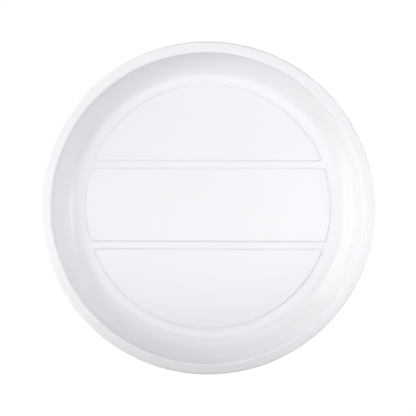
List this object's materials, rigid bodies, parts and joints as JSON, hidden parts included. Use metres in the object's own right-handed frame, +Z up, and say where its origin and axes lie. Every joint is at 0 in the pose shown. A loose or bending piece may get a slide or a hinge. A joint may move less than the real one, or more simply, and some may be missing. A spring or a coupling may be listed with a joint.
{
  "type": "lazy susan turntable",
  "caption": "Round rimmed tray with a coved wall and a panelled floor, turning on a caged ball race over a footed base.",
  "frame": {"origin": "on the table under the turning axis, at the bottom of the feet", "axes": "+Z up along the turning axis; +Y across the two straight floor channels, so the channels run along X"},
  "size_m": [0.305, 0.305, 0.045],
  "materials": {
    "tray_plastic": "polished injection-moulded white",
    "base_plastic": "semi-gloss injection-moulded white",
    "cage_plastic": "natural nylon",
    "zinc_steel": "bright zinc plate",
    "washer_plastic": "satin",
    "cap_plastic": "semi-gloss white",
    "bearing_steel": "polished ball steel",
    "foot_rubber": "matte dark grey"
  },
  "bodies": {
    "base": {"base": "base_plastic", "pivot_cap": "cap_plastic", "rubber_foot_1": "foot_rubber", "rubber_foot_2": "foot_rubber", "rubber_foot_3": "foot_rubber", "rubber_foot_4": "foot_rubber", "rubber_foot_5": "foot_rubber", "rubber_foot_6": "foot_rubber"},
    "tray": {"tray": "tray_plastic", "pivot_screw": "zinc_steel", "pivot_washer": "washer_plastic"},
    "cage": {"ball_cage": "cage_plastic"},
    "ball_01": {"bearing_ball_01": "bearing_steel"},
    "ball_02": {"bearing_ball_02": "bearing_steel"},
    "ball_03": {"bearing_ball_03": "bearing_steel"},
    "ball_04": {"bearing_ball_04": "bearing_steel"},
    "ball_05": {"bearing_ball_05": "bearing_steel"},
    "ball_06": {"bearing_ball_06": "bearing_steel"},
    "ball_07": {"bearing_ball_07": "bearing_steel"},
    "ball_08": {"bearing_ball_08": "bearing_steel"},
    "ball_09": {"bearing_ball_09": "bearing_steel"},
    "ball_10": {"bearing_ball_10": "bearing_steel"},
    "ball_11": {"bearing_ball_11": "bearing_steel"},
    "ball_12": {"bearing_ball_12": "bearing_steel"},
    "ball_13": {"bearing_ball_13": "bearing_steel"},
    "ball_14": {"bearing_ball_14": "bearing_steel"}
  },
  "joints": [
    {"name": "tray_spin", "type": "hinge", "parent": "base", "child": "tray", "pos_m": [0, 0, 0.0122], "axis": [0, 0, 1], "continuous": true},
    {"name": "cage_spin", "type": "hinge", "parent": "base", "child": "cage", "pos_m": [0, 0, 0.0122], "axis": [0, 0, 1], "continuous": true},
    {"name": "ball_roll_01", "type": "hinge", "parent": "cage", "child": "ball_01", "pos_m": [0.072, 0, 0.0122], "axis": [1, 0, 0], "continuous": true},
    {"name": "ball_roll_02", "type": "hinge", "parent": "cage", "child": "ball_02", "pos_m": [0.06487, 0.03124, 0.0122], "axis": [0.901, 0.4339, 0], "continuous": true},
    {"name": "ball_roll_03", "type": "hinge", "parent": "cage", "child": "ball_03", "pos_m": [0.04489, 0.05629, 0.0122], "axis": [0.6235, 0.7818, 0], "continuous": true},
    {"name": "ball_roll_04", "type": "hinge", "parent": "cage", "child": "ball_04", "pos_m": [0.01602, 0.07019, 0.0122], "axis": [0.2225, 0.9749, 0], "continuous": true},
    {"name": "ball_roll_05", "type": "hinge", "parent": "cage", "child": "ball_05", "pos_m": [-0.01602, 0.07019, 0.0122], "axis": [-0.2225, 0.9749, 0], "continuous": true},
    {"name": "ball_roll_06", "type": "hinge", "parent": "cage", "child": "ball_06", "pos_m": [-0.04489, 0.05629, 0.0122], "axis": [-0.6235, 0.7818, 0], "continuous": true},
    {"name": "ball_roll_07", "type": "hinge", "parent": "cage", "child": "ball_07", "pos_m": [-0.06487, 0.03124, 0.0122], "axis": [-0.901, 0.4339, 0], "continuous": true},
    {"name": "ball_roll_08", "type": "hinge", "parent": "cage", "child": "ball_08", "pos_m": [-0.072, 0, 0.0122], "axis": [-1, 0, 0], "continuous": true},
    {"name": "ball_roll_09", "type": "hinge", "parent": "cage", "child": "ball_09", "pos_m": [-0.06487, -0.03124, 0.0122], "axis": [-0.901, -0.4339, 0], "continuous": true},
    {"name": "ball_roll_10", "type": "hinge", "parent": "cage", "child": "ball_10", "pos_m": [-0.04489, -0.05629, 0.0122], "axis": [-0.6235, -0.7818, 0], "continuous": true},
    {"name": "ball_roll_11", "type": "hinge", "parent": "cage", "child": "ball_11", "pos_m": [-0.01602, -0.07019, 0.0122], "axis": [-0.2225, -0.9749, 0], "continuous": true},
    {"name": "ball_roll_12", "type": "hinge", "parent": "cage", "child": "ball_12", "pos_m": [0.01602, -0.07019, 0.0122], "axis": [0.2225, -0.9749, 0], "continuous": true},
    {"name": "ball_roll_13", "type": "hinge", "parent": "cage", "child": "ball_13", "pos_m": [0.04489, -0.05629, 0.0122], "axis": [0.6235, -0.7818, 0], "continuous": true},
    {"name": "ball_roll_14", "type": "hinge", "parent": "cage", "child": "ball_14", "pos_m": [0.06487, -0.03124, 0.0122], "axis": [0.901, -0.4339, 0], "continuous": true}
  ],
  "couplings": [
    {"joint": "cage_spin", "follows": "tray_spin", "ratio": 0.5},
    {"joint": "ball_roll_01", "follows": "tray_spin", "ratio": -9},
    {"joint": "ball_roll_02", "follows": "tray_spin", "ratio": -9},
    {"joint": "ball_roll_03", "follows": "tray_spin", "ratio": -9},
    {"joint": "ball_roll_04", "follows": "tray_spin", "ratio": -9},
    {"joint": "ball_roll_05", "follows": "tray_spin", "ratio": -9},
    {"joint": "ball_roll_06", "follows": "tray_spin", "ratio": -9},
    {"joint": "ball_roll_07", "follows": "tray_spin", "ratio": -9},
    {"joint": "ball_roll_08", "follows": "tray_spin", "ratio": -9},
    {"joint": "ball_roll_09", "follows": "tray_spin", "ratio": -9},
    {"joint": "ball_roll_10", "follows": "tray_spin", "ratio": -9},
    {"joint": "ball_roll_11", "follows": "tray_spin", "ratio": -9},
    {"joint": "ball_roll_12", "follows": "tray_spin", "ratio": -9},
    {"joint": "ball_roll_13", "follows": "tray_spin", "ratio": -9},
    {"joint": "ball_roll_14", "follows": "tray_spin", "ratio": -9}
  ]
}
